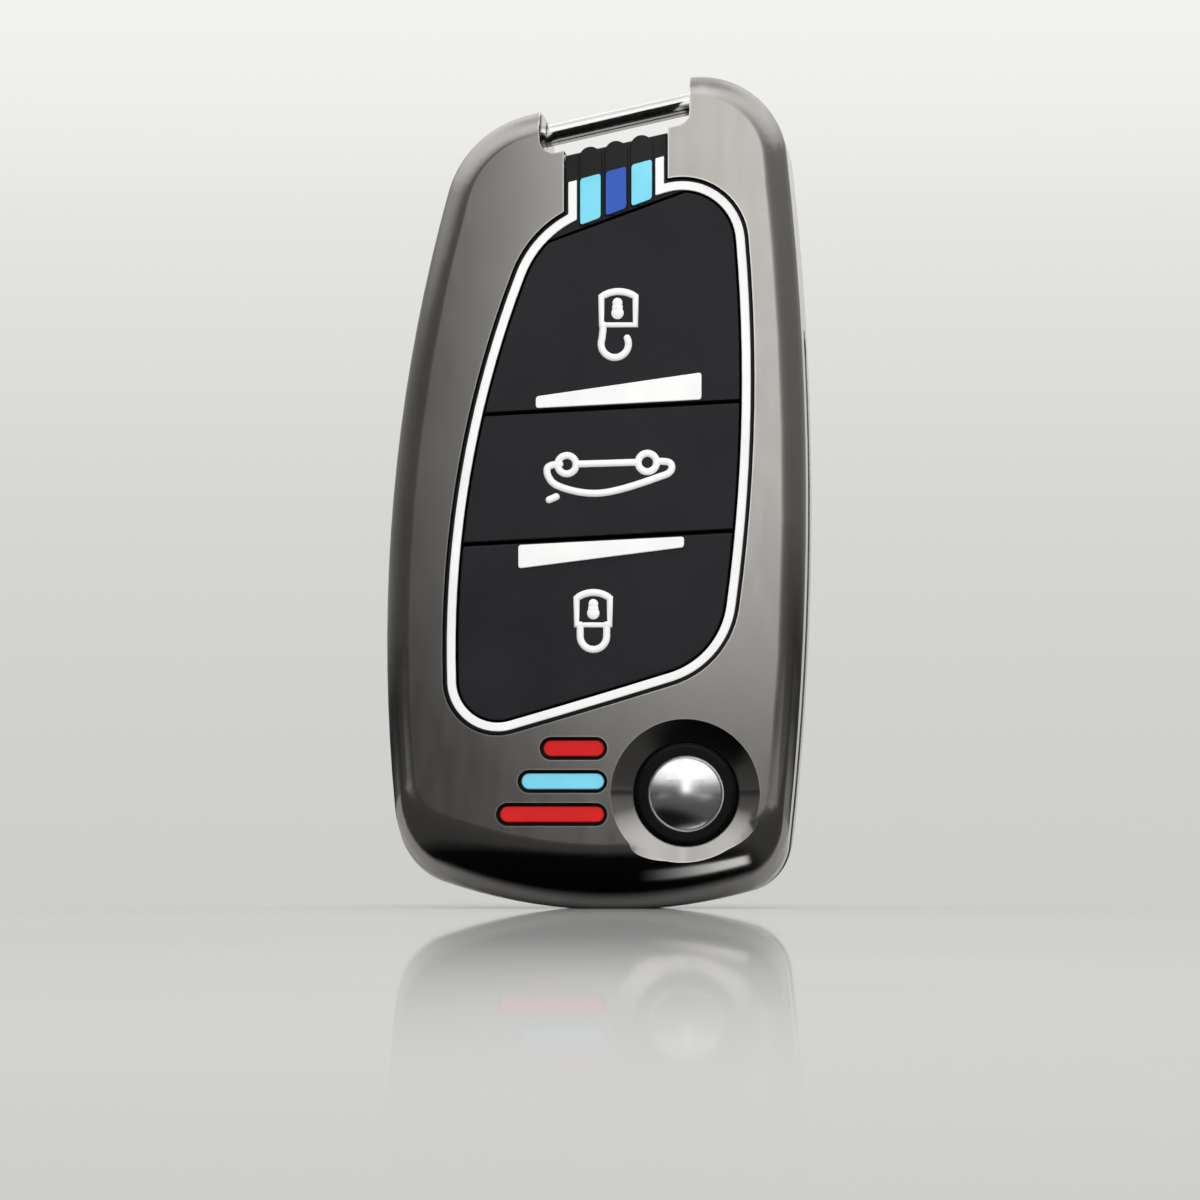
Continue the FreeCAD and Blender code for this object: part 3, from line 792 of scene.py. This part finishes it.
def calculate(tree, operation, *values):
    """One sum, product or function of numbers and sockets."""
    node = add(tree, "ShaderNodeMath", operation=operation)
    for value, socket in zip(values, node.inputs):
        if isinstance(value, float):
            socket.default_value = value
        else:
            tree.links.new(value, socket)
    return node.outputs["Value"]


def times(tree, first, second):
    return calculate(tree, "MULTIPLY", first, second)


def leaning(tree, value, other, lean):
    """A coordinate plus a share of another one, for lines that run at a slant."""
    return calculate(tree, "MULTIPLY_ADD", other, lean, value)


def bent(tree, depth, across, bend):
    """Depth as seen from a line that bends with the distance from the middle."""
    return leaning(tree, depth, times(tree, across, across), bend)


def blend(tree, fac, first, second):
    node = add(tree, "ShaderNodeMixShader")
    tree.links.new(fac, node.inputs["Fac"])
    tree.links.new(first, node.inputs[1])
    tree.links.new(second, node.inputs[2])
    return node.outputs["Shader"]


def gloss_shader(tree, tone, cloud):
    """Clear gloss over the floor's own tone."""
    shader = add(tree, "ShaderNodeBsdfPrincipled")
    tree.links.new(tone, shader.inputs["Base Color"])
    tree.links.new(spread(tree, cloud, low=0.02, high=0.04), shader.inputs["Roughness"])
    shader.inputs["IOR"].default_value = FLOOR_IOR
    return shader.outputs["BSDF"]


def floor_cover(tree, depth, across):
    """1 round the object, 0 where the floor gives way to the pale room."""
    near = fade(tree, depth, FLOOR_NEAR_START, FLOOR_NEAR_FULL)
    behind = fade(tree, depth, FLOOR_BACK_END, FLOOR_BACK_FULL)
    aside = leaning(tree, calculate(tree, "ABSOLUTE", across), depth, FLOOR_LEAN)
    beside = fade(tree, aside, FLOOR_SIDE_END, FLOOR_SIDE_FULL)
    return times(tree, beside, times(tree, near, behind))


def floor_material():
    """Pale sheet, glossy near the object so that its mirror image fades towards the viewer."""
    material, tree, shader = start_material("pale_floor")
    cloud = noise(tree, scale=9.0, detail=3.0, stretch=EVEN)
    tone = ramp(tree, cloud, [(0.3, (0.441, 0.441, 0.438)), (0.7, (0.471, 0.471, 0.468))])
    tree.links.new(tone, shader.inputs["Base Color"])
    shader.inputs["Roughness"].default_value = 0.9
    shader.inputs["Specular IOR Level"].default_value = 0.0
    depth = axis_value(tree, "Y")
    across = axis_value(tree, "X")
    gloss = fade(tree, depth, FLOOR_GLOSS_START, FLOOR_GLOSS_FULL, high=FLOOR_GLOSS)
    surface = blend(tree, gloss, shader.outputs["BSDF"], gloss_shader(tree, tone, cloud))
    clear = add(tree, "ShaderNodeBsdfTransparent")
    result = blend(tree, floor_cover(tree, depth, across), clear.outputs["BSDF"], surface)
    tree.links.new(result, tree.nodes["Material Output"].inputs["Surface"])
    return material


def strip_mask(tree, depth, across):
    left = fade(tree, across, STRIP_LEFT, STRIP_LEFT + STRIP_SOFT)
    right = fade(tree, across, STRIP_RIGHT, STRIP_RIGHT - STRIP_EDGE)
    near = fade(tree, depth, STRIP_NEAR, STRIP_NEAR + STRIP_EDGE)
    far = fade(tree, depth, STRIP_FAR, STRIP_FAR - STRIP_EDGE)
    return times(tree, times(tree, left, right), times(tree, near, far))


def flag_mask(tree, depth, across):
    """1 on the card, 0 past its soft ends."""
    ahead = fade(tree, depth, FLAG_NEAR, FLAG_NEAR + FLAG_SOFT)
    under = fade(tree, depth, FLAG_FAR, FLAG_FAR - FLAG_EDGE)
    close = fade(tree, depth, FLAG_CLOSE - FLAG_BLUR, FLAG_CLOSE)
    left = fade(tree, leaning(tree, across, depth, -FLAG_LEAN), FLAG_LEFT - FLAG_BLUR, FLAG_LEFT)
    right = fade(tree, across, FLAG_RIGHT + FLAG_BLUR, FLAG_RIGHT)
    wide = calculate(tree, "MAXIMUM", close, times(tree, left, right))
    return times(tree, under, times(tree, ahead, wide))


def flag_black(tree, depth, across):
    """1 where the card is black, 0 where it is grey: far from the object and at its right corner."""
    near = fade(tree, bent(tree, depth, across, -FLAG_BEND), FLAG_GREY_END, FLAG_BLACK_START)
    return times(tree, near, fade(tree, across, FLAG_CORNER + FLAG_CORNER_BLUR, FLAG_CORNER))


def flag_material():
    """Dark card with soft ends and a glowing strip; its underside lets everything through."""
    material, tree, shader = start_material("black_card")
    depth = axis_value(tree, "Y")
    across = axis_value(tree, "X")
    tone = ramp(tree, flag_black(tree, depth, across), [(0.0, (0.07, 0.07, 0.07)), (1.0, (0.003, 0.003, 0.003))])
    tree.links.new(tone, shader.inputs["Base Color"])
    shader.inputs["Roughness"].default_value = 1.0
    shader.inputs["Specular IOR Level"].default_value = 0.0
    clear = add(tree, "ShaderNodeBsdfTransparent")
    top = fade(tree, add(tree, "ShaderNodeNewGeometry").outputs["Backfacing"], 1.0, 0.0)
    strip = add(tree, "ShaderNodeEmission")
    strip.inputs["Strength"].default_value = STRIP_GLOW
    card = times(tree, top, flag_mask(tree, depth, across))
    result = blend(tree, card, clear.outputs["BSDF"], shader.outputs["BSDF"])
    result = blend(tree, times(tree, top, strip_mask(tree, depth, across)), result, strip.outputs["Emission"])
    tree.links.new(result, tree.nodes["Material Output"].inputs["Surface"])
    return material


# Stage

def sheet(name, corners, material):
    bm = bmesh.new()
    bm.faces.new([bm.verts.new(corner) for corner in corners])
    mesh = bpy.data.meshes.new(name)
    bm.to_mesh(mesh)
    bm.free()
    mesh.materials.append(material)
    item = bpy.data.objects.new(name, mesh)
    bpy.context.scene.collection.objects.link(item)
    return item


def flag(name, corners, material):
    """Black card that only shows as a dark shape in shiny surfaces."""
    card = sheet(name, corners, material)
    card.visible_camera = False
    card.visible_diffuse = False
    card.visible_shadow = False
    card.visible_transmission = False
    return card


def make_floor():
    sheet("floor", [(-FLOOR_HALF, -FLOOR_HALF, 0.0), (FLOOR_HALF, -FLOOR_HALF, 0.0),
                    (FLOOR_HALF, FLOOR_HALF, 0.0), (-FLOOR_HALF, FLOOR_HALF, 0.0)], floor_material())


def make_bar_flag():
    """Card between the walls of the notch, which follows the slant of the bar."""
    low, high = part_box("key_ring_bar")
    radius = (high.y - low.y) / 2.0
    ahead = low.y - BAR_CARD_AHEAD
    left, right = low.x + BAR_SOCKET, high.x - BAR_SOCKET
    rise = (high.z - low.z - 2.0 * radius) / (high.x - low.x) * BAR_SOCKET
    left_z, right_z = low.z + radius + rise, high.z - radius - rise
    flag("bar_flag", [(left, ahead, left_z - BAR_CARD_DROP), (right, ahead, right_z - BAR_CARD_DROP),
                      (right, ahead, right_z + BAR_CARD_RISE), (left, ahead, left_z + BAR_CARD_LEFT_RISE)],
         silicone("bar_card", (0.003, 0.003, 0.003), (0.005, 0.005, 0.005), 0.9, 1.0))


def make_low_flag():
    flag("low_flag", [(-FLAG_REACH, FLAG_NEAR, FLAG_HEIGHT), (FLAG_REACH, FLAG_NEAR, FLAG_HEIGHT),
                      (FLAG_REACH, FLAG_BACK, FLAG_HEIGHT), (-FLAG_REACH, FLAG_BACK, FLAG_HEIGHT)], flag_material())


def make_fill():
    lamp = bpy.data.lights.new("front_fill", "AREA")
    lamp.shape = "RECTANGLE"
    lamp.size = FILL_SIZE
    lamp.size_y = FILL_SIZE
    lamp.energy = FILL_POWER
    item = bpy.data.objects.new("front_fill", lamp)
    item.location = FILL_PLACE
    item.rotation_euler = (Vector(FILL_AIM) - Vector(FILL_PLACE)).to_track_quat("-Z", "Y").to_euler()
    item.visible_glossy = False
    bpy.context.scene.collection.objects.link(item)


def light_curve(tree, value, reach, stops):
    """Brightness over an angle from minus to plus reach degrees, as a smooth curve through the stops."""
    share = add(tree, "ShaderNodeMapRange")
    share.inputs["From Min"].default_value = -reach
    share.inputs["From Max"].default_value = reach
    tree.links.new(value, share.inputs["Value"])
    node = add(tree, "ShaderNodeFloatCurve")
    curve = node.mapping.curves[0]
    points = [((angle + reach) / (2.0 * reach), bright / LIGHT_TOP) for angle, bright in stops]
    while len(curve.points) < len(points):
        curve.points.new(0.5, 0.5)
    for point, place in zip(curve.points, points):
        point.location = place
        point.handle_type = "AUTO_CLAMPED"
    node.mapping.update()
    tree.links.new(share.outputs["Result"], node.inputs["Value"])
    return calculate(tree, "MULTIPLY", node.outputs["Value"], LIGHT_TOP)


def degrees_of(tree, operation, *values):
    """Angle in degrees from an inverse function."""
    return calculate(tree, "DEGREES", calculate(tree, operation, *values))


def ray_angles(tree):
    """Direction of a ray (0 is the viewer's side, plus is right) and its height, in degrees."""
    place = add(tree, "ShaderNodeTexCoord")
    parts = add(tree, "ShaderNodeSeparateXYZ")
    tree.links.new(place.outputs["Generated"], parts.inputs["Vector"])
    front = calculate(tree, "MULTIPLY", parts.outputs["Y"], -1.0)
    turn = degrees_of(tree, "ARCTAN2", parts.outputs["X"], front)
    return turn, degrees_of(tree, "ARCSINE", parts.outputs["Z"])


def mix_value(tree, fac, first, second):
    node = add(tree, "ShaderNodeMix", data_type="FLOAT")
    tree.links.new(fac, node.inputs["Factor"])
    tree.links.new(first, node.inputs["A"])
    tree.links.new(second, node.inputs["B"])
    return node.outputs["Result"]


def make_world():
    """Pale tent, brightest to the front and above, which the camera sees as an even pale room."""
    world = bpy.data.worlds.new("pale_tent")
    bpy.context.scene.world = world
    world.use_nodes = True
    tree = world.node_tree
    turn, height = ray_angles(tree)
    around = light_curve(tree, turn, 180.0, AROUND)
    rise = light_curve(tree, height, 90.0, RISE)
    above = light_curve(tree, height, 90.0, ABOVE)
    room = light_curve(tree, height, 90.0, BEHIND)
    tent = calculate(tree, "ADD", times(tree, around, rise), above)
    behind = fade(tree, calculate(tree, "ABSOLUTE", turn), BEHIND_START, BEHIND_FULL)
    seen = add(tree, "ShaderNodeLightPath").outputs["Is Camera Ray"]
    strength = mix_value(tree, seen, mix_value(tree, behind, tent, room), room)
    background = tree.nodes["Background"]
    background.inputs["Color"].default_value = TENT_COLOUR
    tree.links.new(strength, background.inputs["Strength"])


def make_camera():
    camera = bpy.data.cameras.new("camera")
    half_frame = IMAGE_PIXELS / PIXELS_PER_MM / 2.0 * MM
    camera.angle = 2.0 * math.atan(half_frame / CAMERA_DISTANCE)
    item = bpy.data.objects.new("camera", camera)
    towards = Vector((math.sin(CAMERA_YAW) * math.cos(CAMERA_PITCH),
                      -math.cos(CAMERA_YAW) * math.cos(CAMERA_PITCH),
                      math.sin(CAMERA_PITCH)))
    item.location = VIEW_CENTRE + towards * CAMERA_DISTANCE
    item.rotation_euler = (-towards).to_track_quat("-Z", "Y").to_euler()
    bpy.context.scene.collection.objects.link(item)
    bpy.context.scene.camera = item


# Everything in its place

SHELLS = ("front_shell", "rear_shell")
ROUND_PLATES = ("upper_wedge", "lower_wedge", "tab_stripe_left", "tab_stripe_middle", "tab_stripe_right")
BODY_OF = {node: body for body, nodes in frame["record"]["behaviour"]["bodies"].items() for node in nodes}
SLOT_OF = {part["node"]: part["material_slot"] for part in frame["record"]["subparts"]}

MATERIALS = {
    "shell_metal": gunmetal(),
    "bar_steel": polished("bright_bar", (0.80, 0.80, 0.80), (0.88, 0.88, 0.87), 0.10, 0.18),
    "black_silicone": silicone("black_silicone", (0.008, 0.008, 0.009), (0.013, 0.013, 0.014), 0.42, 0.55),
    "pad_silicone": silicone("pad_silicone", (0.010, 0.0098, 0.012), (0.014, 0.0137, 0.0165), 0.46, 0.58),
    "ring_silicone": silicone("ring_silicone", (0.002, 0.002, 0.0022), (0.004, 0.004, 0.0045), 0.24, 0.34, 0.14),
    "white_print": silicone("white_silicone", (0.80, 0.80, 0.80), (0.88, 0.88, 0.88), 0.40, 0.50),
    "cap_chrome": polished("chrome", (0.88, 0.88, 0.895), (0.95, 0.95, 0.96), 0.215, 0.235),
    "light_blue_silicone": silicone("light_blue_silicone", (0.17, 0.60, 0.78), (0.22, 0.68, 0.84), 0.40, 0.52),
    "blue_silicone": silicone("blue_silicone", (0.025, 0.085, 0.40), (0.035, 0.11, 0.47), 0.40, 0.52),
    "red_silicone": silicone("red_silicone", (0.56, 0.008, 0.008), (0.64, 0.012, 0.011), 0.42, 0.54),
}

EDGE_WIDTHS = {
    "front_shell": 0.22 * MM, "rear_shell": 0.22 * MM, "key_ring_bar": 0.15 * MM,
    "front_liner": 0.12 * MM, "rear_liner": 0.2 * MM, "white_outline": 0.13 * MM,
    "unlock_button": 0.18 * MM, "boot_button": 0.18 * MM, "lock_button": 0.18 * MM,
    "upper_wedge": 0.09 * MM, "lower_wedge": 0.09 * MM,
    "release_ring": 0.12 * MM, "release_cap": 0.1 * MM,
    "tab_stripe_left": 0.1 * MM, "tab_stripe_middle": 0.1 * MM, "tab_stripe_right": 0.1 * MM,
    "pill_bar_short": 0.15 * MM, "pill_bar_middle": 0.15 * MM, "pill_bar_long": 0.15 * MM,
}
for node, width in EDGE_WIDTHS.items():
    finished(node, width, MATERIALS[SLOT_OF[node]])

for draw_icon in (unlock_icon, lock_icon, boot_icon):
    draw_icon(MATERIALS["white_print"])

make_floor()
make_bar_flag()
make_low_flag()
make_fill()
make_world()
make_camera()
bpy.context.scene.view_settings.view_transform = "Standard"
